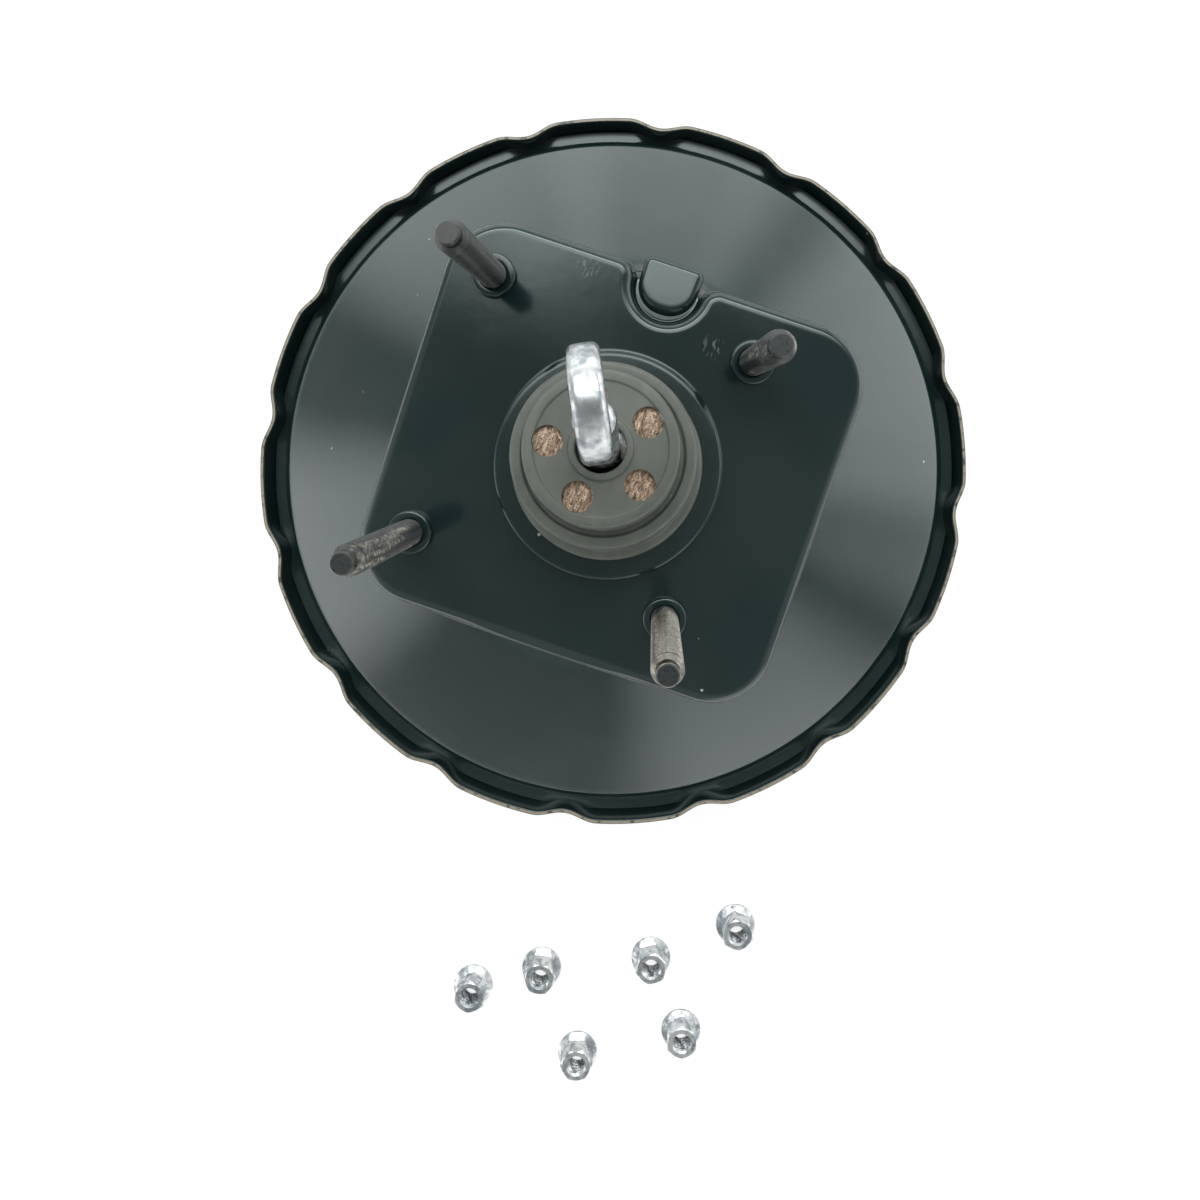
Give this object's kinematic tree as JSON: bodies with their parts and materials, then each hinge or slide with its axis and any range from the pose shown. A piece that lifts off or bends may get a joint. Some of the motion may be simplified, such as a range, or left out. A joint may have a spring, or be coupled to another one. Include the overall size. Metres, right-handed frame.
{
  "type": "brake booster",
  "caption": "Round black vacuum brake booster with a crimped rim, bulkhead studs, a stepped rubber boot and a leaning pedal rod with an eye.",
  "frame": {"origin": "on the booster axis, in the face of the pad that the master cylinder is bolted to", "axes": "+Z along the booster axis towards the pedal; +X from one bulkhead stud to the next; +Y towards the small boss at the platform's edge"},
  "size_m": [0.2512, 0.3953, 0.2009],
  "materials": {
    "shell_paint": "gloss black stove enamel",
    "stud_steel": "threaded steel with worn black coating",
    "plate_steel": "plain pressed steel",
    "zinc_plate": "bright zinc plate",
    "boot_rubber": "matt moulded rubber",
    "seal_rubber": "smooth moulded rubber",
    "felt": "pressed felt",
    "foam": "open-cell foam",
    "piston_resin": "moulded phenolic resin",
    "bearing_resin": "moulded nylon",
    "machined_steel": "turned steel",
    "spring_steel": "oiled spring wire",
    "valve_nylon": "moulded black nylon"
  },
  "bodies": {
    "housing": {"front_shell": "shell_paint", "front_pad": "shell_paint", "front_spigot": "shell_paint", "rear_shell": "shell_paint", "firewall_studs": "stud_steel", "stud_collars": "stud_steel", "stud_plate": "plate_steel", "neck_bearing": "bearing_resin", "neck_seal": "seal_rubber", "seal_retainer": "plate_steel", "front_stiffener": "plate_steel", "master_cylinder_studs": "stud_steel", "front_seal": "seal_rubber", "front_seal_washer": "plate_steel", "valve_grommet": "seal_rubber", "check_valve_body": "valve_nylon", "check_valve_cap": "valve_nylon", "check_valve_spring": "spring_steel", "flange_nuts": "zinc_plate", "boot": "boot_rubber", "main_return_spring": "spring_steel"},
    "power_piston": {"valve_body": "piston_resin", "diaphragm_plate": "plate_steel", "diaphragm": "seal_rubber", "filter_holder": "plate_steel", "felt_filter": "felt", "silencer_foam": "foam", "poppet_valve": "seal_rubber", "poppet_retainer": "plate_steel", "poppet_spring": "spring_steel", "rod_return_spring": "spring_steel", "stop_key": "plate_steel", "reaction_disc": "seal_rubber", "output_rod": "machined_steel", "output_rod_clip": "plate_steel", "adjusting_screw": "machined_steel"},
    "valve_plunger": {"valve_plunger": "machined_steel"},
    "input_rod": {"input_rod": "zinc_plate", "rod_eye_bush": "zinc_plate"},
    "check_valve_disc": {"check_valve_disc": "seal_rubber"}
  },
  "joints": [
    {"name": "booster_stroke", "type": "slide", "parent": "housing", "child": "power_piston", "axis": [0, 0, -1], "range_m": [0, 0.026], "stiffness_N_per_m": 2500, "springref_m": -0.04, "deforming": ["boot", "diaphragm", "main_return_spring"]},
    {"name": "plunger_slide", "type": "slide", "parent": "power_piston", "child": "valve_plunger", "axis": [0, 0, -1], "range_m": [0, 0.0018], "stiffness_N_per_m": 1500, "springref_m": -0.02, "deforming": ["rod_return_spring"]},
    {"name": "rod_tilt", "type": "hinge", "parent": "valve_plunger", "child": "input_rod", "pos_m": [0, 0, 0.116], "axis": [0.9511, 0.309, 0], "range_deg": [-2.5, 2.5]},
    {"name": "check_valve_lift", "type": "slide", "parent": "housing", "child": "check_valve_disc", "axis": [0, 0, -1], "range_m": [0, 0.0015], "stiffness_N_per_m": 100, "springref_m": -0.005, "deforming": ["check_valve_spring"]}
  ]
}
